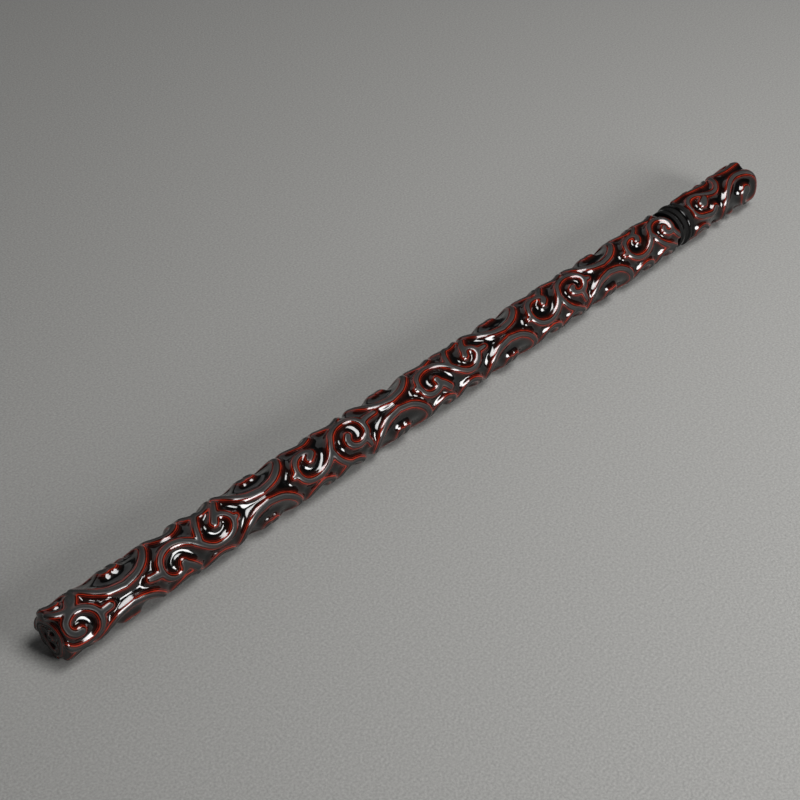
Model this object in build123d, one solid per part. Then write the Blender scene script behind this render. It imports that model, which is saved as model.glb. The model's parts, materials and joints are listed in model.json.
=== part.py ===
"""Carved lacquer writing brush with a friction cap.

The brush lies along X: butt on the -X side, cap on the +X side, Z up.  The origin is on the surface it lies on,
below the middle of the capped brush.  Every piece is turned about the brush's own axis.  Stations along that
axis are measured from the butt face and written x_..., radii are written r_....
"""
import os

from build123d import *

# ---------------------------------------------------------------- driving dimensions, millimetres
OVERALL_LENGTH = 300.0        # butt face to cap end, with the cap on
CAP_LENGTH = 41.8             # cap mouth to cap end
COAT_DIAMETER = 14.8          # over the ridges of the carving
COAT_THICKNESS = 2.1          # lacquer layers, before carving
GROUND_THICKNESS = 0.3        # cloth and clay ground under the lacquer
BUTT_ROUNDING = 1.5           # rim of the butt
CAP_END_ROUNDING = 3.0        # rim of the cap end

CORE_BORE_DIAMETER = 4.4      # natural bore of the bamboo
SEPTUM_THICKNESS = 4.0        # bamboo node left closed behind the tuft's socket
BUTT_PLUG_LENGTH = 8.0

COLLAR_REEDS = ((1.2, 0.30), (1.2, 0.30), (1.2, 0.30))      # (width, height) of each turned reed
MOUTH_REEDS = ((1.1, 0.30), (1.8, 0.55), (1.1, 0.30))
RING_BODY_RECESS = 0.7        # valleys between reeds, below the coat's surface
SEAM_GAP = 0.15               # between the handle's shoulder and the cap's mouth

NECK_LENGTH = 9.5             # stepped neck that the cap grips
NECK_COAT_THICKNESS = 0.25
NECK_WALL = 0.9               # bamboo left around the socket
NECK_CHAMFER = 0.3
CAP_FIT_CLEARANCE = 0.03      # radial, neck in cap
CAP_CORE_WALL = 0.5
CAP_LINING_THICKNESS = 0.2
CAP_PLUG_LENGTH = 3.0

SOCKET_DEPTH = 12.0           # from the neck's mouth
RESIN_PLUG_LENGTH = 3.0
RESIN_FILM = 0.05             # radial, hair root in socket
THREAD_DIAMETER = 0.5
THREAD_TURNS = 5
ROOT_FLARE = 0.6              # length over which the hair opens out after the binding

MANTLE_THICKNESS = 0.7        # soft outer hair around the stiffer core
MANTLE_END_STEP = 0.25        # hair ends standing around the core
BELLY_SWELL = 0.25            # radial
TIP_RADIUS = 0.12
TIP_CLEARANCE = 5.9           # hair tip to the end of the cap's inside

# where the tuft's outline changes, as parts of its free length
BELLY_AT = 0.30
MANTLE_SHOULDER_AT = 0.60
MANTLE_END_AT = 0.82

# ---------------------------------------------------------------- radii, outside to inside
r_coat = COAT_DIAMETER / 2
r_ground = r_coat - COAT_THICKNESS
r_core = r_ground - GROUND_THICKNESS
r_core_bore = CORE_BORE_DIAMETER / 2
r_ring_valley = r_coat - RING_BODY_RECESS

r_cap_core_bore = r_core - CAP_CORE_WALL
r_cap_bore = r_cap_core_bore - CAP_LINING_THICKNESS
r_neck = r_cap_bore - CAP_FIT_CLEARANCE
r_neck_core = r_neck - NECK_COAT_THICKNESS
r_socket = r_neck_core - NECK_WALL
r_root = r_socket - RESIN_FILM
r_waist = r_root - THREAD_DIAMETER
r_belly = r_root + BELLY_SWELL
r_hair_core = r_waist - MANTLE_THICKNESS

# ---------------------------------------------------------------- stations along the axis
x_cap_mouth = OVERALL_LENGTH - CAP_LENGTH
x_shoulder = x_cap_mouth - SEAM_GAP
x_collar = x_shoulder - sum(width for width, _ in COLLAR_REEDS)
x_mouth_ring_end = x_cap_mouth + sum(width for width, _ in MOUTH_REEDS)

x_ground_butt = COAT_THICKNESS
x_core_butt = x_ground_butt + GROUND_THICKNESS
x_ground_end = OVERALL_LENGTH - COAT_THICKNESS
x_core_end = x_ground_end - GROUND_THICKNESS
x_cap_plug = x_core_end - CAP_PLUG_LENGTH
x_cap_inside_end = x_cap_plug - CAP_LINING_THICKNESS

x_neck_end = x_shoulder + NECK_LENGTH
x_socket = x_neck_end - SOCKET_DEPTH
x_core_bore_end = x_socket - SEPTUM_THICKNESS
x_hair_root = x_socket + RESIN_PLUG_LENGTH
x_binding_end = x_hair_root + THREAD_TURNS * THREAD_DIAMETER
x_tip = x_cap_inside_end - TIP_CLEARANCE
tuft_length = x_tip - x_neck_end


def along_tuft(part):
    """Station at the given part of the tuft's free length."""
    return x_neck_end + part * tuft_length


# ---------------------------------------------------------------- turned shapes
def turned(*edges):
    """Solid turned about the axis from a closed outline of edges."""
    return revolve(make_face(list(edges)), Axis.X)


def rod(x0, x1, radius):
    """Solid cylinder from station x0 to station x1."""
    return turned(Polyline((x0, 0), (x1, 0), (x1, radius), (x0, radius), close=True))


def tube(x0, x1, r_in, r_out):
    """Tube from station x0 to station x1."""
    return turned(Polyline((x0, r_in), (x1, r_in), (x1, r_out), (x0, r_out), close=True))


def reeded_ring(x0, reeds, r_in):
    """Ring whose outside is a row of round reeds standing on one valley radius."""
    length = sum(width for width, _ in reeds)
    edges = [Polyline((x0, r_ring_valley), (x0, r_in), (x0 + length, r_in), (x0 + length, r_ring_valley))]
    x = x0
    for width, height in reeds:
        crown = (x + width / 2, r_ring_valley + height)
        edges.append(ThreePointArc((x, r_ring_valley), crown, (x + width, r_ring_valley)))
        x += width
    return turned(*edges)


def rounded_at(solid, x, r_out, rounding):
    """Solid with its outer rim at station x rounded."""
    rims = [e for e in solid.edges().filter_by(GeomType.CIRCLE)
            if abs(e.arc_center.X - x) < 1e-6 and abs(e.radius - r_out) < 1e-6]
    return fillet(rims, rounding)


# ---------------------------------------------------------------- handle
def make_handle_core():
    """Bamboo: barrel and stepped neck, with its bore, a closed node and the tuft's socket."""
    barrel = rod(x_core_butt, x_shoulder, r_core) + rod(x_shoulder, x_neck_end, r_neck_core)
    bore = rod(x_core_butt, x_core_bore_end, r_core_bore)
    socket = rod(x_socket, x_neck_end, r_socket)
    return barrel - bore - socket


def make_handle_ground():
    """Cloth and clay ground over the barrel and the butt."""
    return rod(x_ground_butt, x_collar, r_ground) - rod(x_core_butt, x_collar, r_core)


def make_handle_lacquer():
    """Coat of lacquer layers over the barrel and the butt, as the plain envelope of its carving."""
    outside = rounded_at(rod(0, x_collar, r_coat), 0, r_coat, BUTT_ROUNDING)
    return outside - rod(x_ground_butt, x_collar, r_ground)


def make_butt_plug():
    """Wooden plug that closes the bamboo's bore under the butt."""
    return rod(x_core_butt, x_core_butt + BUTT_PLUG_LENGTH, r_core_bore)


def make_handle_collar():
    """Plain black ring with turned reeds; its end face is the shoulder that the cap stops on."""
    return reeded_ring(x_collar, COLLAR_REEDS, r_core)


def make_neck_lacquer():
    """Plain lacquer on the neck, the surface that the cap slides on."""
    neck = tube(x_shoulder, x_neck_end, r_neck_core, r_neck)
    rim = [e for e in neck.edges().filter_by(GeomType.CIRCLE)
           if abs(e.arc_center.X - x_neck_end) < 1e-6 and abs(e.radius - r_neck) < 1e-6]
    return chamfer(rim, min(NECK_CHAMFER, 0.6 * NECK_COAT_THICKNESS))


# ---------------------------------------------------------------- tuft
def make_root_resin():
    """Resin at the bottom of the socket that holds the hair."""
    return rod(x_socket, x_hair_root, r_socket)


def make_root_binding():
    """Turns of thread that bind the hair root, side by side."""
    edges = []
    for turn in range(THREAD_TURNS):
        x = x_hair_root + turn * THREAD_DIAMETER
        crown = (x + THREAD_DIAMETER / 2, r_root)
        edges.append(ThreePointArc((x, r_waist + THREAD_DIAMETER / 2), crown,
                                   (x + THREAD_DIAMETER, r_waist + THREAD_DIAMETER / 2)))
    edges.append(Polyline((x_binding_end, r_waist + THREAD_DIAMETER / 2), (x_binding_end, r_waist),
                          (x_hair_root, r_waist), (x_hair_root, r_waist + THREAD_DIAMETER / 2)))
    return turned(*edges)


def make_tuft_core():
    """Stiffer hair that runs from the root to the point."""
    straight_end = along_tuft(BELLY_AT)
    taper = Spline((straight_end, r_hair_core),
                   (along_tuft(MANTLE_END_AT), 0.62 * r_hair_core),
                   (x_tip, TIP_RADIUS),
                   tangents=[(1, 0), (1, -0.5)])
    outline = Polyline((x_tip, TIP_RADIUS), (x_tip, 0), (x_hair_root, 0),
                       (x_hair_root, r_hair_core), (straight_end, r_hair_core))
    return turned(taper, outline)


def make_tuft_mantle(core):
    """Softer outer hair: bound at the root, full at the belly, ending short of the point."""
    x_open = x_binding_end + ROOT_FLARE
    x_end = along_tuft(MANTLE_END_AT)
    r_end = 0.62 * r_hair_core + MANTLE_END_STEP
    r_shoulder = 0.78 * r_belly
    belly = Spline((x_neck_end, r_root),
                   (along_tuft(BELLY_AT), r_belly),
                   (along_tuft(MANTLE_SHOULDER_AT), r_shoulder),
                   (x_end, r_end),
                   tangents=[(1, 0.12), (1, -0.35)])
    outline = Polyline((x_end, r_end), (x_end, 0), (x_hair_root, 0), (x_hair_root, r_waist),
                       (x_binding_end, r_waist), (x_open, r_root), (x_neck_end, r_root))
    return turned(belly, outline) - core


# ---------------------------------------------------------------- cap
def make_cap_core():
    """Bamboo tube of the cap, from its mouth to its end."""
    return tube(x_cap_mouth, x_core_end, r_cap_core_bore, r_core)


def make_cap_end_plug():
    """Wooden disc that closes the cap's tube."""
    return rod(x_cap_plug, x_core_end, r_cap_core_bore)


def make_cap_lining():
    """Plain lacquer inside the cap, closed at the end, that grips the neck."""
    outside = rod(x_cap_mouth, x_cap_plug, r_cap_core_bore)
    return outside - rod(x_cap_mouth, x_cap_inside_end, r_cap_bore)


def make_cap_ground():
    """Cloth and clay ground over the cap's tube and end."""
    return rod(x_mouth_ring_end, x_ground_end, r_ground) - rod(x_mouth_ring_end, x_core_end, r_core)


def make_cap_lacquer():
    """Coat of lacquer layers over the cap and its end, as the plain envelope of its carving."""
    outside = rounded_at(rod(x_mouth_ring_end, OVERALL_LENGTH, r_coat), OVERALL_LENGTH, r_coat, CAP_END_ROUNDING)
    return outside - rod(x_mouth_ring_end, x_ground_end, r_ground)


def make_cap_mouth_ring():
    """Plain black ring with turned reeds around the cap's mouth."""
    return reeded_ring(x_cap_mouth, MOUTH_REEDS, r_core)


# ---------------------------------------------------------------- assembly
def make_nodes():
    """Every piece by its name, in stations from the butt face."""
    tuft_core = make_tuft_core()
    return {
        "handle_core": make_handle_core(),
        "handle_ground": make_handle_ground(),
        "handle_lacquer": make_handle_lacquer(),
        "butt_plug": make_butt_plug(),
        "handle_collar": make_handle_collar(),
        "neck_lacquer": make_neck_lacquer(),
        "root_resin": make_root_resin(),
        "root_binding": make_root_binding(),
        "tuft_core": tuft_core,
        "tuft_mantle": make_tuft_mantle(tuft_core),
        "cap_core": make_cap_core(),
        "cap_end_plug": make_cap_end_plug(),
        "cap_lining": make_cap_lining(),
        "cap_ground": make_cap_ground(),
        "cap_lacquer": make_cap_lacquer(),
        "cap_mouth_ring": make_cap_mouth_ring(),
    }


on_its_side = Pos(-OVERALL_LENGTH / 2, 0, r_coat)
os.makedirs("parts", exist_ok=True)
for name, solid in make_nodes().items():
    export_step(on_its_side * solid, f"parts/{name}.step")

print(f"cap inside ends at x = {x_cap_inside_end - OVERALL_LENGTH / 2:.2f}, bore radius {r_cap_bore:.2f}")
print(f"tuft: {tuft_length:.2f} long, {2 * r_belly:.2f} across, tip at x = {x_tip - OVERALL_LENGTH / 2:.2f}")
print(f"neck radius {r_neck:.2f}, cap mouth at x = {x_cap_mouth - OVERALL_LENGTH / 2:.2f}")
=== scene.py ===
"""Looks of a capped writing brush in carved layered lacquer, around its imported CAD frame.

Positions on the brush are worked in millimetres: `along` is the distance from the butt face and `across` is the
distance round the barrel's surface from the front line, the line that the scrolls facing the camera are carved on.
"""
import json
import math
import random

import bmesh
import bpy
import numpy as np
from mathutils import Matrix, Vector, noise


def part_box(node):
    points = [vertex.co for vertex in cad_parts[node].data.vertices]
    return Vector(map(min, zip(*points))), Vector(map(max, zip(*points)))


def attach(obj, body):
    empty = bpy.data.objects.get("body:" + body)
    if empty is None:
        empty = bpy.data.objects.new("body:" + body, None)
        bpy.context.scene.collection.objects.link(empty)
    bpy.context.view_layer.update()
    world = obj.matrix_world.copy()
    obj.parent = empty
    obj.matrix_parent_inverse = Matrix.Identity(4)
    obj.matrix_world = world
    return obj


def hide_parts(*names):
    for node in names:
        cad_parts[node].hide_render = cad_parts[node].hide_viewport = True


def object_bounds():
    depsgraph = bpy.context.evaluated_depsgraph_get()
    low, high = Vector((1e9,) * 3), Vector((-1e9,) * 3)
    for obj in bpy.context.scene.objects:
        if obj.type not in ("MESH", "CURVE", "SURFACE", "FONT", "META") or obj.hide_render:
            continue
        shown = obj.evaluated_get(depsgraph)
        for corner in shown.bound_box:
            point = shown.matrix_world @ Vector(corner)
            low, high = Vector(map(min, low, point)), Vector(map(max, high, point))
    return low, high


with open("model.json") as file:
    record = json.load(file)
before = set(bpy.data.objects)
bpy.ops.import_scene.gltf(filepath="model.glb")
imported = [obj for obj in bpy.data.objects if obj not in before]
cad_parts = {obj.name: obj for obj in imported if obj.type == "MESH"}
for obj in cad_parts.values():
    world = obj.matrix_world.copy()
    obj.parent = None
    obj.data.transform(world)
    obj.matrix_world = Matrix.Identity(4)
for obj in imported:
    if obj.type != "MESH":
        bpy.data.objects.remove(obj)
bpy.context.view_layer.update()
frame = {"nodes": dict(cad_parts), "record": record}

MM = 0.001
low_corner, high_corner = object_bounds()
BUTT_X = low_corner[0]
AXIS_Z = (low_corner[2] + high_corner[2]) / 2
TURN = 2 * math.pi


def along_of(x):
    """Distance from the butt face, in millimetres, of a row frame x in metres."""
    return (x - BUTT_X) / MM


def ends_of(node):
    """Where a CAD piece starts and ends along the brush."""
    return [along_of(corner[0]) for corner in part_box(node)]


def radius_of(node):
    """The largest radius of a turned CAD piece."""
    low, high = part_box(node)
    return (high[2] - low[2]) / 2 / MM


LENGTH = along_of(high_corner[0])
BARREL_RADIUS = (high_corner[2] - low_corner[2]) / 2 / MM
CIRCUMFERENCE = TURN * BARREL_RADIUS
BACK = CIRCUMFERENCE / 2
FRONT_ANGLE = math.radians(40.9)      # from straight up towards -Y, where the front line lies

HANDLE_COAT_END = ends_of("handle_lacquer")[1]
CAP_COAT_START = ends_of("cap_lacquer")[0]
GROUND_RADIUS = radius_of("handle_ground")
GROUND_BUTT = ends_of("handle_ground")[0]
GROUND_CAP_END = ends_of("cap_ground")[1]

# ---------------------------------------------------------------- carving, in millimetres
BUTT_ROUNDING = 1.5           # radius of the edge round the butt face
CAP_ROUNDING = 3.0            # radius of the edge round the cap's end face
# The carving's profile: (distance outside a ridge's flat top, depth there).
PROFILE = ((-0.30, 0.0), (0.0, 0.03), (0.30, 0.11), (0.65, 0.27), (1.05, 0.54), (1.45, 0.88), (1.80, 1.18),
           (2.20, 1.42), (2.60, 1.52), (3.20, 1.56), (4.20, 1.56))
HOLLOW_DEPTH = (0.75, 1.25)   # between these depths the carving turns into a smooth round-bottomed hollow
FINE_PASSES = 3               # smoothing of the whole carving
HOLLOW_PASSES = 14            # further smoothing of the hollows
END_SLOPE = 1.3               # length of the slope at a coat's open end, beside its ring
END_DROP = 0.95               # depth at the foot of that slope
SKIN_MARGIN = 0.02            # ridges stay this far inside the barrel's envelope
HIDDEN_DEPTH = 1.2            # depth that the inside of a coat is coloured by
GRID_ALONG = 0.25             # spacing of a coat's points along the brush
GRID_COLUMNS = 176            # how many of them go round it
POLE_GAP = 0.05               # from the middle of an end face to the first ring of points
PATH_STEP = 0.3               # spacing of the points on a ridge's centre line
PATH_PART = 24                # how many of those points are compared with the coat at once
FAR = 9.0                     # distance from a ridge where none is near
THINNING = 0.5                # share of the half widths below that is carved as a flat top

# Ridge centre lines, as (along, across) or (along, across, half width of the flat top) where that isn't RIDGE.
RIDGE = 0.7
# The five S scrolls of the front line, each carved a little differently.
SCROLLS = (
    (((38.7, 3.2, 1.3), (38.4, 5.2, 0.95), (36.2, 6.0), (33.8, 5.1), (32.1, 2.9), (32.2, 0.3), (33.8, -1.8),
      (36.8, -3.0), (40.0, -2.7), (42.8, -1.1), (45.0, 1.1), (47.1, 3.1), (49.7, 4.5), (52.8, 4.7), (55.3, 3.6),
      (56.8, 1.4), (56.7, -0.8), (55.2, -2.5), (53.2, -3.0, 0.9), (51.8, -1.6, 1.3)),
     ((32.0, 2.4, 0.8), (30.0, 2.2, 0.8), (27.8, 1.8, 0.5)),
     ((39.4, 3.9, 1.0), (41.1, 5.5, 1.0), (43.0, 7.8, 0.8)),
     ((56.9, 0.5, 0.7), (58.4, 0.2, 0.3)),
     ((52.6, -2.7, 1.0), (54.1, -4.5, 0.8), (56.0, -7.0, 0.6)),
     ((45.4, 0.2, 0.7), (46.3, -2.5), (47.7, -4.9), (50.0, -7.8))),
    (((86.7, -1.9, 1.3), (88.4, -3.2, 1.0), (86.7, -4.4), (83.8, -4.1), (81.6, -2.3), (80.9, 0.3), (82.0, 2.7),
      (84.6, 4.1), (88.0, 4.2), (91.0, 2.9), (93.2, 0.7), (94.8, -1.8), (96.9, -4.3), (99.7, -5.9), (103.0, -6.4),
      (105.8, -5.2), (107.3, -2.7), (107.4, 0.1), (106.0, 2.2), (103.5, 2.9), (101.0, 2.0, 0.9), (100.1, 0.2, 1.1),
      (101.0, -1.2, 1.1)),
     ((81.0, 0.3, 0.7), (79.4, 0.4, 0.3)),
     ((93.9, 0.2, 0.7), (94.8, 3.0), (96.9, 5.4), (100.0, 7.6)),
     ((106.0, 2.0), (106.8, 3.8, 0.6), (107.3, 5.2, 0.25)),
     ((107.4, -2.2), (109.8, -2.8, 0.6), (113.2, -2.8, 0.3))),
    (((137.2, -0.6, 1.2), (137.4, 1.2, 1.1), (135.6, 2.3, 0.85), (133.2, 2.3), (131.2, 1.0), (130.5, -1.3),
      (131.3, -3.6), (133.3, -5.2), (136.2, -6.0), (139.2, -5.6), (141.6, -4.3), (143.5, -2.4), (145.1, -0.5),
      (146.9, 1.2), (149.3, 2.5), (151.9, 2.6), (153.9, 1.4), (155.3, -0.7), (155.0, -2.7), (153.2, -3.8),
      (151.5, -3.3, 0.95), (150.7, -2.1, 1.2)),
     ((137.8, 0.6, 1.1), (139.4, 2.2, 1.1), (140.7, 3.8, 1.0)),
     ((130.5, -1.3, 0.7), (129.2, -1.6, 0.3)),
     ((155.5, -1.4, 0.8), (157.6, -1.2, 0.6), (159.0, -1.2, 0.2)),
     ((151.4, -3.6, 0.9), (152.8, -5.6, 0.8), (155.2, -8.4, 0.7)),
     ((143.9, -2.4, 0.7), (144.9, -4.9), (146.7, -7.4), (149.2, -10.0))),
    (((187.4, -2.6, 1.2), (188.8, -3.8, 0.9), (187.5, -5.2), (185.0, -5.7), (182.5, -4.9), (180.7, -2.9),
      (180.1, -0.5), (181.3, 1.8), (183.8, 3.3), (186.8, 3.8), (189.6, 3.0), (191.8, 1.3), (193.4, -0.7),
      (194.5, -2.5), (196.0, -4.4), (198.4, -5.8), (201.4, -6.3), (204.4, -5.4), (206.2, -3.3), (206.1, -0.9),
      (204.5, 0.8), (202.2, 1.2), (200.2, 0.4, 0.9), (199.7, -0.8, 1.0), (200.8, -1.4, 1.0)),
     ((180.2, -0.5, 0.7), (178.6, -0.4, 0.3)),
     ((206.5, -1.5), (208.3, -1.1, 0.3)),
     ((203.2, 1.3, 0.8), (203.5, 3.1, 0.8), (203.9, 4.6, 0.6)),
     ((187.8, -5.2), (189.9, -6.8), (192.5, -9.2)),
     ((194.0, -0.3, 0.7), (195.0, 2.3), (196.8, 4.3), (199.6, 6.2), (202.3, 8.2))),
    (((235.2, -2.8, 1.2), (236.3, -4.2, 0.9), (234.6, -5.3), (232.0, -5.1), (229.9, -3.9), (228.6, -1.8),
      (228.8, 0.4), (230.5, 2.1), (233.2, 3.0), (236.0, 2.8), (238.3, 1.6), (240.2, -0.2), (241.7, -2.3),
      (243.4, -4.3), (245.7, -5.6), (248.3, -5.8), (250.4, -4.6), (251.4, -2.5), (251.3, -0.1), (250.2, 1.1),
      (248.4, 0.9, 0.9), (247.4, -0.3, 1.0), (248.2, -1.3, 1.0)),
     ((228.6, -0.8, 0.7), (226.8, -0.6, 0.4)),
     ((250.9, 0.8), (251.9, 2.6, 0.7), (253.2, 4.2, 0.5)),
     ((235.0, -5.3), (237.8, -6.6), (240.5, -8.9)),
     ((242.0, -1.0, 0.7), (243.2, 1.8), (245.2, 3.8), (248.2, 5.7), (251.5, 8.0))),
)
SCROLL_MIDDLES = (45.2, 94.2, 143.8, 193.2, 240.8)
# The back line's scrolls sit beside the front line's pommels: (along the brush, which front scroll they repeat).
BACK_SCROLLS = ((21.5, 1), (69.0, 2), (120.5, 3), (168.5, 0), (217.0, 1))

# Half of a pommel: an arch whose end curls in to a lobe, from the arch's crown outwards.
POMMEL_HALF = ((0.0, 0.0, 0.85), (5.0, 1.1, 0.85), (8.9, 4.0, 0.85), (10.9, 8.2, 0.85), (9.6, 12.0, 0.85),
               (6.0, 13.8, 0.85), (3.0, 12.9, 0.9), (1.7, 11.2, 1.15), (1.5, 9.3, 1.5), (1.3, 7.6, 1.8))
# From the front line to the crown of a pommel that faces it, at each pair; the last also serves the back line.
CROWN_GAPS = (2.85, 1.9, 1.9, 1.9, 1.9)

# The scroll beside the butt, cut short by it.
BUTT_SCROLL = (
    ((5.6, 3.3, 1.3), (3.8, 3.0, 1.0), (2.4, 1.4, 1.0), (2.6, -0.6, 1.0), (4.6, -2.1, 0.9), (7.3, -2.5), (9.8, -1.4),
     (11.5, 0.6), (11.9, 3.2), (11.2, 5.8), (9.0, 7.6), (6.0, 8.0), (2.6, 7.2), (0.0, 5.2)),
    ((4.4, -2.4, 0.8), (6.3, -4.6), (8.0, -7.4)),
    ((11.9, 1.8, 0.8), (14.0, 1.8, 0.8), (15.4, 1.7, 0.8)),
)
BUTT_CURL_LENGTH = 0.78       # its curl, shortened to this, is repeated at the other quarters of the butt
# The cap's scroll beside its ring, and the large hook that turns over its end.
CAP_SCROLL = (
    ((274.3, 3.1, 1.4), (272.2, 4.3, 1.0), (269.0, 3.7), (266.2, 3.0), (264.1, 1.5), (263.2, -0.8), (263.9, -3.2),
     (266.2, -5.1), (269.3, -5.2), (272.3, -3.8), (275.0, -2.5), (277.6, -2.3), (279.8, -3.4), (281.6, -5.6),
     (283.0, -8.5)),
    ((271.6, -2.0, 1.2), (269.8, -0.9, 2.2)),
    ((279.6, 10.5), (279.2, 7.5), (279.8, 4.8), (281.3, 2.3, 0.8), (283.8, -0.3, 0.85), (286.8, -2.1, 0.9),
     (290.2, -2.9, 0.9), (293.8, -2.4, 1.0), (297.0, -0.7, 1.0), (299.4, 2.0, 1.0), (300.4, 5.4, 1.0),
     (299.4, 9.0, 0.9), (296.0, 11.2, 0.9), (292.6, 10.4, 0.9), (290.6, 7.8, 1.1), (290.7, 5.2, 2.2),
     (291.8, 4.2, 3.0)),
    ((262.6, 9.0), (265.0, 7.2, 0.8), (267.8, 7.4, 0.8), (270.2, 9.4, 0.8), (272.5, 11.6)),
    ((263.4, -9.6), (268.0, -9.8, 0.8), (273.0, -8.4, 0.8), (278.0, -7.6, 0.8), (280.6, -9.6)),
    ((285.5, -11.5), (287.0, -8.8, 0.8), (290.0, -7.8, 0.9), (294.0, -8.0, 1.2), (298.0, -8.8, 2.4)),
)

# How the front line strays across the barrel: a steady offset, a bend beside the butt and a dip before the middle.
LINE_OFFSET = -0.9
BEND, BEND_LENGTH = 4.4, 50
DIP, DIP_PLACE, DIP_LENGTH = 0.9, 122, 22

# The rim and the boss carved on an end face.
RIM_STEPS = 36
RIM_SCALLOPS, SCALLOP = 3, 0.5
RIM_HALF_WIDTH = 0.4
BOSS_HALF_WIDTH = 0.6
BUTT_RIM, CAP_RIM = 4.3, 3.0  # distance of the rim from the face's centre


def front_line(along):
    """How far the carver's front line strays across the barrel: it isn't quite straight."""
    dip = DIP * math.exp(-(((along - DIP_PLACE) / DIP_LENGTH) ** 2))
    return LINE_OFFSET + BEND * math.exp(-along / BEND_LENGTH) - dip


def placed(ridge, along, across, side=1, flip=1):
    """A ridge moved to its place; side turns it over across the barrel, flip end for end."""
    return [(along + flip * point[0], across + side * point[1], *(point[2:] or (RIDGE,))) for point in ridge]


def pommel_ridges(along, across, side):
    """Both halves of a pommel whose crown is at the given place and whose lobes point to the given side."""
    return [placed(POMMEL_HALF, along, across, side, flip) for flip in (1, -1)]


def handle_ridges():
    """Every ridge of the handle: scrolls and pairs of pommels take turns on the front line and on the back."""
    ridges = [placed(ridge, 0, 0) for ridge in BUTT_SCROLL]
    curl = [(along * BUTT_CURL_LENGTH, *rest) for along, *rest in BUTT_SCROLL[0]]
    ridges += [placed(curl, 0, quarter * CIRCUMFERENCE / 4) for quarter in (-1, 1, 2)]
    for middle, scroll, (behind, repeated), gap in zip(SCROLL_MIDDLES, SCROLLS, BACK_SCROLLS, CROWN_GAPS):
        ridges += [placed(ridge, 0, 0) for ridge in scroll]
        shift = behind - SCROLL_MIDDLES[repeated]
        level = BACK + front_line(behind) - front_line(SCROLL_MIDDLES[repeated])
        ridges += [placed(ridge, shift, level) for ridge in SCROLLS[repeated]]
        for way in (1, -1):
            ridges += pommel_ridges(behind, front_line(behind) + way * gap, way)
            ridges += pommel_ridges(middle, BACK + front_line(middle) + way * CROWN_GAPS[-1], way)
    return ridges


def cap_ridges():
    """Every ridge of the cap: the same scroll and hook on the front and on the back."""
    return [placed(ridge, 0, line) for line in (0, BACK) for ridge in CAP_SCROLL]


def end_rim(pole, inward, reach):
    """A gently scalloped rim and a boss on an end face; reach is the rim's distance from the face's centre."""
    rim = [(pole + inward * (reach + SCALLOP * math.cos(RIM_SCALLOPS * TURN * step / RIM_STEPS)),
            step / RIM_STEPS * CIRCUMFERENCE, RIM_HALF_WIDTH) for step in range(RIM_STEPS + 1)]
    boss = [(pole + inward * 0.01, 0, BOSS_HALF_WIDTH), (pole + inward * 0.02, 1, BOSS_HALF_WIDTH)]
    return [rim, boss]


# ---------------------------------------------------------------- meshes
def linked_mesh(name, points, faces, turn_outwards=True, smooth=True):
    """A new object in the scene, made of points in metres and faces."""
    mesh = bpy.data.meshes.new(name)
    mesh.from_pydata(points, [], faces)
    if turn_outwards:
        work = bmesh.new()
        work.from_mesh(mesh)
        bmesh.ops.recalc_face_normals(work, faces=work.faces)
        work.to_mesh(mesh)
        work.free()
    mesh.polygons.foreach_set("use_smooth", np.full(len(mesh.polygons), smooth))
    mesh.update()
    piece = bpy.data.objects.new(name, mesh)
    bpy.context.scene.collection.objects.link(piece)
    return piece


def mark_points(piece, attribute, values):
    """A number at every point of a mesh, for its material to read."""
    layer = piece.data.attributes.new(attribute, "FLOAT", "POINT")
    layer.data.foreach_set("value", values.astype(np.float32))


# ---------------------------------------------------------------- carving
def smooth_path(points):
    """Points along a ridge, about PATH_STEP apart on a smooth curve through its control points."""
    p = np.array(points, float)
    p = np.vstack([2 * p[0] - p[1], p, 2 * p[-1] - p[-2]])
    out = []
    for i in range(1, len(p) - 2):
        span = np.linalg.norm(p[i + 1, :2] - p[i, :2])
        count = max(2, int(round(span / PATH_STEP)))
        t = np.arange(count)[:, None] / count
        a, b, c, d = p[i - 1], p[i], p[i + 1], p[i + 2]
        out.append(0.5 * (2 * b + (c - a) * t + (2 * a - 5 * b + 4 * c - d) * t**2 + (3 * b - a - 3 * c + d) * t**3))
    out.append(p[-2][None, :])
    return np.vstack(out)


class Outline:
    """A barrel's outline with one rounded, closed end, by arc length that equals `along` on the straight part."""

    def __init__(self, closed_at, open_at, rounding):
        self.sign = 1 if open_at > closed_at else -1
        self.open_at, self.rounding = open_at, rounding
        self.arc_start = closed_at + self.sign * rounding
        arc_end = self.arc_start - self.sign * rounding * math.pi / 2
        self.flat = BARREL_RADIUS - rounding
        self.pole = arc_end - self.sign * self.flat

    def at(self, t):
        """Axial place, radius, and the outward normal's two parts, for arc lengths t."""
        t = np.asarray(t, float)
        past = self.sign * (self.arc_start - t)
        angle = np.clip(past / self.rounding, 0, math.pi / 2)
        beyond = np.clip(past - self.rounding * math.pi / 2, 0, self.flat)
        straight = np.clip(past, None, 0)
        x = self.arc_start - self.sign * (self.rounding * np.sin(angle) + straight)
        r = self.flat + self.rounding * np.cos(angle) - beyond
        return x, r, -self.sign * np.sin(angle), np.cos(angle)

    def stations(self):
        """Arc lengths from the closed end's centre to the open end."""
        count = int(abs(self.open_at - self.pole) / GRID_ALONG)
        return np.linspace(self.pole + self.sign * POLE_GAP, self.open_at, count)


def around(x, r, across):
    """Millimetres from the butt's centre, for axial place x and radius r, at a distance across from the front line."""
    angle = FRONT_ANGLE + np.asarray(across) / BARREL_RADIUS
    x, r, angle = np.broadcast_arrays(x, r, angle)
    return np.stack([x, -r * np.sin(angle), r * np.cos(angle)], axis=-1)


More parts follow.
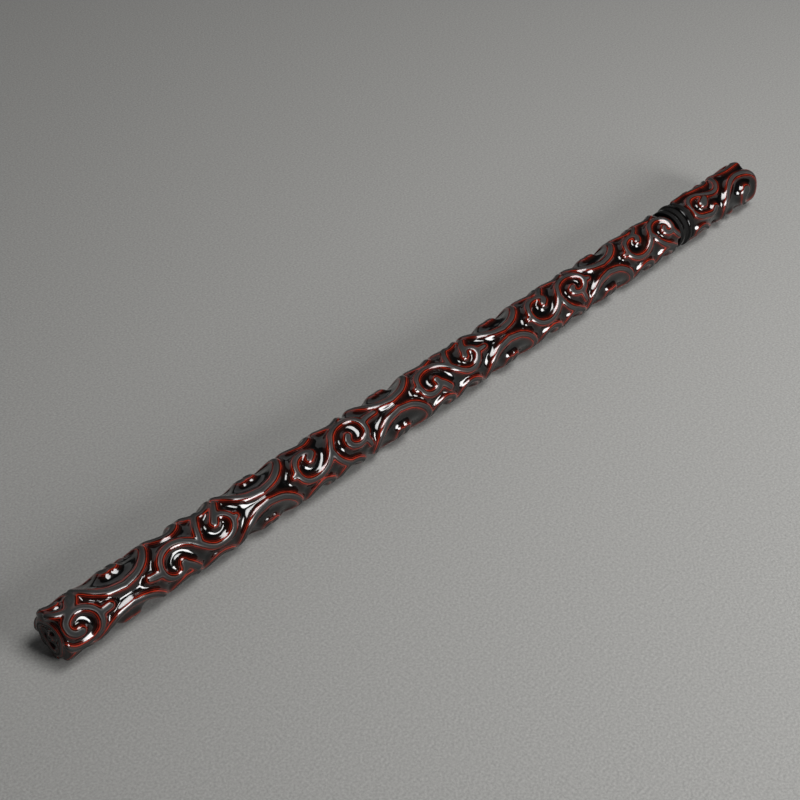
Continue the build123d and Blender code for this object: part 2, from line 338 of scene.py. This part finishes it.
def carved_depths(outline, stations, columns, ridges):
    """Depth of the carving at every grid point, from the distance to the nearest ridge."""
    x, r, _, _ = outline.at(stations)
    surface = around(x[:, None], r[:, None], columns[None, :])
    nearest = np.full(surface.shape[:2], FAR)
    reach = PROFILE[-1][0]
    for ridge in ridges:
        path = smooth_path(ridge)
        px, pr, _, _ = outline.at(path[:, 0])
        centres = around(px, pr, path[:, 1])
        for start in range(0, len(path), PATH_PART):
            part = slice(start, start + PATH_PART + 1)
            some, half = centres[part], THINNING * path[part, 2]
            low, high = some.min(0) - half.max() - reach, some.max(0) + half.max() + reach
            inside = np.all((surface > low) & (surface < high), axis=2)
            if not inside.any():
                continue
            points = surface[inside]
            gaps = np.sqrt(((points[:, None, :] - some[None]) ** 2).sum(2)) - half[None]
            nearest[inside] = np.minimum(nearest[inside], gaps.min(1))
    return softened(np.interp(nearest, *zip(*PROFILE)))


def softened(depth):
    """The carving with its sharp meeting lines rubbed round, most of all in the bottoms of the grooves."""
    fine = rubbed(depth, FINE_PASSES)
    hollow = rubbed(fine, HOLLOW_PASSES)
    part = np.clip((hollow - HOLLOW_DEPTH[0]) / (HOLLOW_DEPTH[1] - HOLLOW_DEPTH[0]), 0, 1)
    return fine + (hollow - fine) * part * part * (3 - 2 * part)


def rubbed(depth, passes):
    """A depth grid averaged with its neighbours a number of times."""
    for _ in range(passes):
        depth = (np.roll(depth, 1, 1) + 2 * depth + np.roll(depth, -1, 1)) / 4
        inner = (depth[:-2] + 2 * depth[1:-1] + depth[2:]) / 4
        depth = np.vstack([depth[:1], inner, depth[-1:]])
    return depth


def carved_coat(name, outline, inner_end, ridges):
    """A closed coat of lacquer: carved outside, plain inside where it lies on its ground."""
    stations = outline.stations()
    columns = np.arange(GRID_COLUMNS) * CIRCUMFERENCE / GRID_COLUMNS
    depth = carved_depths(outline, stations, columns, ridges)
    x, r, nx, nr = outline.at(stations)
    fade = np.clip(np.abs(stations - outline.open_at) / END_SLOPE, 0, 1)[:, None]
    sunk = SKIN_MARGIN + np.maximum(depth, END_DROP * (0.5 + 0.5 * np.cos(math.pi * fade)))
    rings = [around(x[:, None] - nx[:, None] * sunk, r[:, None] - nr[:, None] * sunk, columns[None, :])]
    rings += [around(inner_x, GROUND_RADIUS, columns[None, :]) for inner_x in (outline.open_at, inner_end)]
    grid = np.concatenate(rings)
    pole_depth = sunk[0].mean()
    poles = [[x[0] - nx[0] * pole_depth, 0, 0], [inner_end, 0, 0]]
    points = np.concatenate([grid.reshape(-1, 3), poles]) * MM + np.array([BUTT_X, 0, AXIS_Z])
    rows, cols = grid.shape[:2]
    i = np.arange(rows - 1)[:, None] * cols
    j = np.arange(cols)[None, :]
    k = (j + 1) % cols
    faces = np.stack([i + j, i + k, i + cols + k, i + cols + j], axis=-1).reshape(-1, 4).tolist()
    outer_pole, inner_pole, last = rows * cols, rows * cols + 1, (rows - 1) * cols
    faces += [(outer_pole, (a + 1) % cols, a) for a in range(cols)]
    faces += [(inner_pole, last + a, last + (a + 1) % cols) for a in range(cols)]
    if outline.sign < 0:
        faces = [face[::-1] for face in faces]
    piece = linked_mesh(name, points.tolist(), faces, turn_outwards=False)
    hidden = np.full(2 * cols, HIDDEN_DEPTH)
    mark_points(piece, "depth", np.concatenate([sunk.reshape(-1), hidden, [pole_depth, HIDDEN_DEPTH]]))
    return piece


# ---------------------------------------------------------------- materials
NOISE_RANGE = (0.3, 0.7)      # most of a noise texture's values lie between these
MIX_A, MIX_B, MIX_RESULT = 6, 7, 2          # the sockets of a Mix node that mixes colours


class Nodes:
    """A material's node tree with short calls to add and join nodes; a value is a (node, output) pair."""

    def __init__(self, name):
        self.material = bpy.data.materials.new(name)
        self.material.use_nodes = True
        self.tree = self.material.node_tree
        self.shader = self.tree.nodes["Principled BSDF"]

    def add(self, kind, inputs=None, **settings):
        """A new node with its inputs and its own settings."""
        node = self.tree.nodes.new(kind)
        for key, value in settings.items():
            setattr(node, key, value)
        for key, value in (inputs or {}).items():
            node.inputs[key].default_value = value
        return node

    def join(self, value, node, socket):
        """A link from a value to a node's input."""
        self.tree.links.new(value[0].outputs[value[1]], node.inputs[socket])

    def into(self, value, socket):
        """A link from a value to the material's shader."""
        self.join(value, self.shader, socket)

    def attribute(self, name):
        """A number stored at the mesh's points."""
        return (self.add("ShaderNodeAttribute", attribute_name=name), "Fac")

    def sum(self, *values):
        """Values added one after another."""
        total = values[0]
        for value in values[1:]:
            node = self.add("ShaderNodeMath", operation="ADD")
            self.join(total, node, 0)
            self.join(value, node, 1)
            total = (node, 0)
        return total

    def noise(self, scale, detail, stretch=(1, 1, 1)):
        """Noise in object space, in turns per metre, with its scale on each axis multiplied by stretch."""
        mapping = self.add("ShaderNodeMapping", {"Scale": stretch})
        self.join((self.add("ShaderNodeTexCoord"), "Object"), mapping, "Vector")
        node = self.add("ShaderNodeTexNoise", {"Scale": scale, "Detail": detail})
        self.join((mapping, "Vector"), node, "Vector")
        return (node, "Fac")

    def ramp(self, value, stops):
        """A value coloured by stops of (value, colour)."""
        node = self.add("ShaderNodeValToRGB")
        elements = node.color_ramp.elements
        elements.remove(elements[-1])
        elements[0].position, elements[0].color = stops[0][0], (*stops[0][1], 1)
        for position, colour in stops[1:]:
            elements.new(position).color = (*colour, 1)
        self.join(value, node, "Fac")
        return (node, "Color")

    def mottled(self, value, dark, light):
        """Two colours mixed by a noise value."""
        return self.ramp(value, list(zip(NOISE_RANGE, (dark, light))))

    def spread(self, value, low, high, span=NOISE_RANGE):
        """A value that goes from low to high as the given one crosses its span."""
        sockets = {"From Min": span[0], "From Max": span[1], "To Min": low, "To Max": high}
        node = self.add("ShaderNodeMapRange", sockets)
        self.join(value, node, "Value")
        return (node, "Result")

    def multiply(self, a, b):
        """Two colours multiplied."""
        node = self.add("ShaderNodeMix", {"Factor": 1.0}, data_type="RGBA", blend_type="MULTIPLY")
        self.join(a, node, MIX_A)
        self.join(b, node, MIX_B)
        return (node, MIX_RESULT)

    def bump(self, value, distance, strength=1.0):
        """Relief from a value, with its height in metres."""
        node = self.add("ShaderNodeBump", {"Distance": distance, "Strength": strength})
        self.join(value, node, "Height")
        self.into((node, "Normal"), "Normal")


BLACK = (0.0030, 0.0032, 0.0028)
UNDER_BLACK = (0.0050, 0.0018, 0.0014)
RED = (0.190, 0.0125, 0.0040)
DEEP_RED = (0.085, 0.006, 0.0026)
RED_BROWN = (0.026, 0.0062, 0.0038)
BROWN = (0.012, 0.0032, 0.0022)
DEEP_BROWN = (0.0048, 0.0016, 0.0012)
# The deepest layer: black lacquer, made darker than the surface black as painted shade in the groove floors.
FLOOR_BLACK_AND_SHADE = (0.0010, 0.0009, 0.0009)
RAMP_DEPTH = 1.6              # millimetres of depth that the colour ramp covers

# Lacquer layers from the surface down: (depth in millimetres where the layer starts, its colour). The last, deepest
# black is partly painted shade in the groove floors.
LAYERS = ((0.0, BLACK), (0.08, BLACK), (0.12, RED_BROWN), (0.20, RED_BROWN), (0.24, DEEP_BROWN),
          (0.28, RED), (0.39, RED), (0.42, UNDER_BLACK), (0.52, UNDER_BLACK), (0.55, DEEP_RED), (0.62, DEEP_RED),
          (0.66, DEEP_BROWN), (0.82, DEEP_BROWN), (0.86, BROWN), (0.95, BROWN), (1.00, DEEP_BROWN),
          (1.12, DEEP_BROWN), (1.20, FLOOR_BLACK_AND_SHADE))
# Soot and dust darken the lacquer in patches: (noise value, colour that it is multiplied by).
GRIME = ((0.35, (0.42, 0.40, 0.40)), (0.62, (1.0, 1.0, 1.0)))
LAYER_WAVER = 0.045           # how far the layers' depths stray in long waves, in millimetres
LAYER_GRAIN = 0.015           # and in short ones
RIDGE_ROUGHNESS = 0.80        # handled ridge tops are dull, the carved slopes stay glossy
DULL_DEPTHS = (0.05, 0.16)    # the dullness fades out between these depths
# Scales of noise on the three axes: small along the brush for fibres, large for the turning marks round it.
ALONG_WOOD = (0.12, 1, 1)
ALONG_PLUG = (0.3, 1, 1)
ALONG_HAIR = (0.06, 1, 1)
ALONG_STRANDS = (0.04, 1, 1)
ROUND_THE_RING = (6, 0.4, 0.4)


def carved_lacquer():
    """Layers of black and red lacquer, cut through by the carving and polished, with painted shade darkening the
    deepest groove floors.
    """
    n = Nodes("carved_lacquer")
    depth = n.attribute("depth")
    waver = n.spread(n.noise(160, 2), -LAYER_WAVER, LAYER_WAVER)
    grain = n.spread(n.noise(900, 2), -LAYER_GRAIN, LAYER_GRAIN)
    level = n.spread(n.sum(depth, waver, grain), 0.0, 1.0, (0.0, RAMP_DEPTH))
    layers = n.ramp(level, [(start / RAMP_DEPTH, colour) for start, colour in LAYERS])
    n.into(n.multiply(layers, n.ramp(n.noise(330, 4), GRIME)), "Base Color")
    dull = n.spread(depth, RIDGE_ROUGHNESS, 0.0, DULL_DEPTHS)
    n.into(n.sum(n.spread(n.noise(700, 4), 0.07, 0.14), dull), "Roughness")
    n.bump(n.noise(2600, 4), 0.000008, 0.5)
    n.shader.inputs["Specular IOR Level"].default_value = 0.50
    return n.material


def black_lacquer():
    """Plain black lacquer with fine turning marks; the mesh says where it is dull."""
    n = Nodes("black_lacquer")
    n.into(n.mottled(n.noise(420, 4), (0.0007, 0.0007, 0.0007), (0.0022, 0.0019, 0.0017)), "Base Color")
    n.into(n.sum(n.spread(n.noise(900, 4), 0.06, 0.13), n.attribute("matte")), "Roughness")
    n.bump(n.noise(1500, 3, ROUND_THE_RING), 0.00003, 0.6)
    n.shader.inputs["Specular IOR Level"].default_value = 0.24
    return n.material


def wood(name, dark, light, stretch):
    """Bare wood with its fibres along the brush."""
    n = Nodes(name)
    n.into(n.mottled(n.noise(1400, 5, stretch), dark, light), "Base Color")
    n.into(n.spread(n.noise(900, 3, stretch), 0.45, 0.65), "Roughness")
    n.bump(n.noise(2400, 4, stretch), 0.00005)
    return n.material


def rough_ground():
    """Cloth and clay under the lacquer."""
    n = Nodes("ground")
    n.into(n.mottled(n.noise(900, 5), (0.020, 0.015, 0.012), (0.06, 0.045, 0.035)), "Base Color")
    n.into(n.spread(n.noise(1500, 4), 0.7, 0.9), "Roughness")
    n.bump(n.noise(2500, 4), 0.0001)
    return n.material


def resin():
    """The amber resin that holds the root of the tuft."""
    n = Nodes("resin")
    n.into(n.mottled(n.noise(600, 3), (0.10, 0.032, 0.010), (0.20, 0.075, 0.022)), "Base Color")
    n.into(n.spread(n.noise(500, 2), 0.2, 0.35), "Roughness")
    return n.material


def thread():
    """The pale thread round the root of the tuft."""
    n = Nodes("thread")
    n.into(n.mottled(n.noise(3000, 4), (0.42, 0.34, 0.22), (0.62, 0.54, 0.38)), "Base Color")
    n.into(n.spread(n.noise(2500, 3), 0.6, 0.8), "Roughness")
    n.bump(n.noise(5000, 3), 0.00005)
    return n.material


def hair(name, dark, light):
    """Combed hair, streaked along its length."""
    n = Nodes(name)
    n.into(n.mottled(n.noise(2600, 4, ALONG_HAIR), dark, light), "Base Color")
    n.into(n.spread(n.noise(2000, 3, ALONG_HAIR), 0.35, 0.55), "Roughness")
    n.bump(n.noise(5200, 3, ALONG_STRANDS), 0.00006)
    return n.material


def pale_floor():
    """A pale matt floor with a fine grain."""
    n = Nodes("floor")
    n.into(n.mottled(n.noise(1500, 4), (0.150, 0.149, 0.143), (0.210, 0.208, 0.199)), "Base Color")
    n.into(n.spread(n.noise(800, 3), 0.8, 0.95), "Roughness")
    n.bump(n.noise(1300, 4), 0.00010)
    return n.material


MATERIALS = {
    "bamboo": wood("bamboo", (0.30, 0.19, 0.08), (0.50, 0.35, 0.17), ALONG_WOOD),
    "plug_wood": wood("plug_wood", (0.12, 0.06, 0.03), (0.22, 0.12, 0.06), ALONG_PLUG),
    "ground": rough_ground(),
    "carved_lacquer": carved_lacquer(),
    "black_lacquer": black_lacquer(),
    "resin": resin(),
    "thread": thread(),
    "stiff_hair": hair("stiff_hair", (0.07, 0.035, 0.015), (0.20, 0.11, 0.05)),
    "soft_hair": hair("soft_hair", (0.42, 0.33, 0.20), (0.72, 0.63, 0.46)),
}

for subpart in frame["record"]["subparts"]:
    node = frame["nodes"][subpart["node"]]
    node.data.materials.clear()
    node.data.materials.append(MATERIALS[subpart["material_slot"]])

# ---------------------------------------------------------------- the two coats
handle_outline = Outline(0, HANDLE_COAT_END, BUTT_ROUNDING)
cap_outline = Outline(LENGTH, CAP_COAT_START, CAP_ROUNDING)
handle_coat = carved_coat("handle_carving", handle_outline, GROUND_BUTT,
                          handle_ridges() + end_rim(handle_outline.pole, 1, BUTT_RIM))
cap_coat = carved_coat("cap_carving", cap_outline, GROUND_CAP_END,
                       cap_ridges() + end_rim(cap_outline.pole, -1, CAP_RIM))
for coat, body, node in ((handle_coat, "handle", "handle_lacquer"), (cap_coat, "cap", "cap_lacquer")):
    coat.data.materials.append(MATERIALS["carved_lacquer"])
    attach(coat, body)
    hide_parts(node)


# ---------------------------------------------------------------- turned rings
def from_axis(along, radius, angle):
    """Row frame place of a point given by its distance from the butt, its radius and its angle from straight up."""
    return (BUTT_X + along * MM, -radius * MM * math.sin(angle), AXIS_Z + radius * MM * math.cos(angle))


def lofted(name, stations, closed=False):
    """A mesh through rings of (along, list of (radius, angle) points); both ends are capped unless closed."""
    count = len(stations[0][1])
    points = [from_axis(along, radius, angle) for along, ring in stations for radius, angle in ring]
    rows = len(stations)
    faces = []
    for row in range(rows if closed else rows - 1):
        here, there = row * count, (row + 1) % rows * count
        faces += [(here + k, here + (k + 1) % count, there + (k + 1) % count, there + k) for k in range(count)]
    if not closed:
        faces += [tuple(range(count)), tuple(reversed(range((rows - 1) * count, rows * count)))]
    return linked_mesh(name, points, faces)


RING_COLUMNS = 144            # points round a ring
RING_ROWS = 90                # points along its reeded part
RING_CORNER = ((0.01, 0.3), (0.03, 0.04), (0.16, 0.0))      # (distance from a ring's end, depth under its valley)
RING_MARGIN = 0.25            # the reeds keep this far from the ring's ends
REED_PITCH = 0.62
REED_DEPTH = 0.3
VALLEY_ROUGHNESS = 0.80       # added to the roughness of the reeds and valley, which are dull
CORE_RADIUS = radius_of("handle_core")
# Each black ring: (name, body, CAD piece, middle of its polished band, the band's width and height, valley's depth).
RINGS = (
    ("collar_ring", "handle", "handle_collar", sum(ends_of("handle_collar")) / 2, 1.0, 0.0, 0.3),
    ("mouth_ring", "cap", "cap_mouth_ring", ends_of("cap_mouth_ring")[0] + 1.15, 1.3, 0.5, 0.52),
)


def turned_ring(name, node, band_at, band_width, band_height, valley):
    """A ring of fine dull reeds with one polished band, flat or rounded up to a bead; valley is its base radius."""
    start, end = ends_of(node)
    outer = [(start + gap, valley - drop, 1) for gap, drop in RING_CORNER]
    for along in np.linspace(start + RING_MARGIN, end - RING_MARGIN, RING_ROWS):
        part = (along - band_at) / (band_width / 2)
        on_band = abs(part) < 1
        reed = -REED_DEPTH * abs(math.sin(math.pi * (along - band_at - band_width / 2) / REED_PITCH))
        outer.append((along, valley + (band_height * math.sqrt(1 - part * part) if on_band else reed), not on_band))
    outer += [(end - gap, valley - drop, 1) for gap, drop in reversed(RING_CORNER)]
    inner = [(outer[-1][0], CORE_RADIUS, 1), (outer[0][0], CORE_RADIUS, 1)]
    angles = [TURN * k / RING_COLUMNS for k in range(RING_COLUMNS)]
    stations = [(along, [(radius, angle) for angle in angles]) for along, radius, _ in outer + inner]
    ring = lofted(name, stations, closed=True)
    mark_points(ring, "matte", np.repeat([VALLEY_ROUGHNESS * dull for _, _, dull in outer + inner], RING_COLUMNS))
    return ring


for name, body, node, band_at, band_width, band_height, valley_depth in RINGS:
    ring = turned_ring(name, node, band_at, band_width, band_height, radius_of(node) - valley_depth)
    ring.data.materials.append(MATERIALS["black_lacquer"])
    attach(ring, body)
    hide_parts(node)

# ---------------------------------------------------------------- tuft
HAIR_COLUMNS = 120            # points round a bundle
HAIR_ROWS = 90                # points along it
HAIR_COUNT = 520              # single strands on the bundle
HAIR_STEPS = 16               # pieces that a strand bends in
HAIR_SINK = 0.05              # deepest that a strand lies in the bundle
HAIR_THICKNESS = (0.030, 0.055)
HAIR_TAPER = 0.75             # share of its thickness that a strand loses at its tip
HAIR_TURN = 0.12              # radians that a strand strays round the bundle
HAIR_START = 0.6              # share of the bundle's length that the strands start in
HAIR_LENGTH = (0.45, 1.0)     # shares of the bundle's length that a strand can have
LEAST_RADIUS = 0.02           # of a strand's centre line, where the bundle comes to its point
LEAST_SWING_RADIUS = 0.15     # near the point a strand's thickness is turned as if it lay this far out
BUNDLE_MARGIN = 0.02          # a bundle keeps this far from its CAD piece's ends
FURROW_DEPTH = 0.05           # share of the radius that the furrows take
ROOT_FURROWS = 0.3            # share of that depth at the root, which grows by the whole of it to the point
FURROWS_ROUND = 4.0           # radius and length that the bundle has in the furrows' noise
FURROWS_ALONG = 1.3
FINE_FURROWS, FINE_FURROW_SHARE = 3.1, 0.35
hair_random = random.Random(11)


def cad_outline(node):
    """Places along the brush and the largest radius there, read from a turned CAD node."""
    widest = {}
    for vertex in frame["nodes"][node].data.vertices:
        along = round(along_of(vertex.co.x), 2)
        radius = math.hypot(vertex.co.y, vertex.co.z - AXIS_Z) / MM
        widest[along] = max(widest.get(along, 0.0), radius)
    places = sorted(widest)
    return np.array(places), np.array([widest[place] for place in places])


def combed(name, node):
    """A turned CAD bundle of hair with combed furrows that gather towards its point."""
    places, radii = cad_outline(node)
    stations = []
    for along in np.linspace(places[0] + BUNDLE_MARGIN, places[-1] - BUNDLE_MARGIN, HAIR_ROWS):
        radius = float(np.interp(along, places, radii))
        part = (along - places[0]) / (places[-1] - places[0])
        ring = []
        for k in range(HAIR_COLUMNS):
            angle = TURN * k / HAIR_COLUMNS
            spot = Vector((math.cos(angle) * FURROWS_ROUND, math.sin(angle) * FURROWS_ROUND, part * FURROWS_ALONG))
            furrow = 0.5 + 0.5 * noise.noise(spot) + FINE_FURROW_SHARE * noise.noise(spot * FINE_FURROWS)
            sunk = FURROW_DEPTH * (ROOT_FURROWS + part) * min(1.0, max(0.0, furrow))
            ring.append((radius * (1 - sunk), angle))
        stations.append((along, ring))
    return lofted(name, stations)


def loose_hairs(name, outline, first, last):
    """Single hairs lying on the bundle, each a thin three-sided strand that follows its outline."""
    places, radii = outline
    points, faces = [], []
    for _ in range(HAIR_COUNT):
        angle = hair_random.uniform(0, TURN)
        turn = hair_random.uniform(-HAIR_TURN, HAIR_TURN)
        start = hair_random.uniform(first, first + HAIR_START * (last - first) * hair_random.random())
        stop = min(last, start + hair_random.uniform(*HAIR_LENGTH) * (last - first))
        sink = hair_random.uniform(0.0, HAIR_SINK)
        thick = hair_random.uniform(*HAIR_THICKNESS)
        base = len(points)
        for step in range(HAIR_STEPS + 1):
            part = step / HAIR_STEPS
            along = start + (stop - start) * part
            width = thick * (1 - HAIR_TAPER * part)
            radius = max(LEAST_RADIUS, float(np.interp(along, places, radii)) - sink - width)
            here = angle + turn * part
            for corner in range(3):
                lean = TURN * corner / 3
                swing = here + width * math.sin(lean) / max(radius, LEAST_SWING_RADIUS)
                points.append(from_axis(along, radius + width * math.cos(lean), swing))
        for step in range(HAIR_STEPS):
            a = base + 3 * step
            faces += [(a + c, a + (c + 1) % 3, a + 3 + (c + 1) % 3, a + 3 + c) for c in range(3)]
        faces += [(base + 2, base + 1, base), tuple(base + 3 * HAIR_STEPS + c for c in range(3))]
    return linked_mesh(name, points, faces, smooth=False)


mantle_outline = cad_outline("tuft_mantle")
binding_end = ends_of("root_binding")[1]
tuft_pieces = (
    (combed("tuft_soft_hair", "tuft_mantle"), "tuft_mantle", "soft_hair"),
    (combed("tuft_stiff_hair", "tuft_core"), "tuft_core", "stiff_hair"),
    (loose_hairs("tuft_soft_strands", mantle_outline, binding_end, mantle_outline[0][-1]), "tuft_mantle",
     "soft_hair"),
)
for piece, node, slot in tuft_pieces:
    piece.data.materials.append(MATERIALS[slot])
    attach(piece, "handle")
    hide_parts(node)

# ---------------------------------------------------------------- stage, lights and camera
FLOOR_SIZE = 30.0             # so wide that its edge is never in view
bpy.ops.mesh.primitive_plane_add(size=FLOOR_SIZE, location=(0, 0, 0))
floor = bpy.context.object
floor.name = "floor"
floor.data.materials.append(pale_floor())

# Lights, in metres: (name, place, point it is aimed at, width and height, watts, spread in degrees).
LIGHTS = (
    ("side_light", (0.16, -0.86, 0.34), (0.03, 0, 0.0), (0.44, 0.34), 3.6, 100),
    ("top_light", (0.16, -0.32, 0.88), (0.20, -0.26, 0.0), (0.44, 0.48), 5.4, 115),
    ("back_light", (0.10, 0.95, 0.70), (0, 0, 0.0), (1.6, 1.0), 2.2, 180),
)
WORLD_COLOUR = (0.9, 0.95, 1.0, 1)
WORLD_STRENGTH = 0.03
CAMERA_PLACE = (-154.5, -263.0, 311.2)      # millimetres from the point of the floor below the butt face
CAMERA_AIM = (128.2, 2.0, 7.4)
CAMERA_LENS = 76.5
NEAREST_SEEN = 0.01           # metres from the camera


def set_up(thing, place, aim):
    """A lamp or the camera put into the scene at a place, turned to face the point it is aimed at."""
    thing.location = place
    thing.rotation_euler = (Vector(aim) - Vector(place)).to_track_quat("-Z", "Y").to_euler()
    bpy.context.scene.collection.objects.link(thing)


def from_butt(millimetres):
    """Row frame place of a point given in millimetres from the floor below the butt face."""
    return Vector(millimetres) * MM + Vector((BUTT_X, 0, 0))


for name, place, aim, (width, height), power, spread in LIGHTS:
    lamp = bpy.data.lights.new(name, "AREA")
    lamp.shape = "RECTANGLE"
    lamp.size, lamp.size_y = width, height
    lamp.energy = power
    lamp.spread = math.radians(spread)
    set_up(bpy.data.objects.new(name, lamp), place, aim)

world = bpy.data.worlds.new("studio")
world.use_nodes = True
background = world.node_tree.nodes["Background"]
background.inputs["Color"].default_value = WORLD_COLOUR
background.inputs["Strength"].default_value = WORLD_STRENGTH
bpy.context.scene.world = world
bpy.context.scene.view_settings.view_transform = "Standard"

camera_data = bpy.data.cameras.new("camera")
camera_data.lens = CAMERA_LENS
camera_data.clip_start = NEAREST_SEEN
camera = bpy.data.objects.new("camera", camera_data)
set_up(camera, from_butt(CAMERA_PLACE), from_butt(CAMERA_AIM))
bpy.context.scene.camera = camera
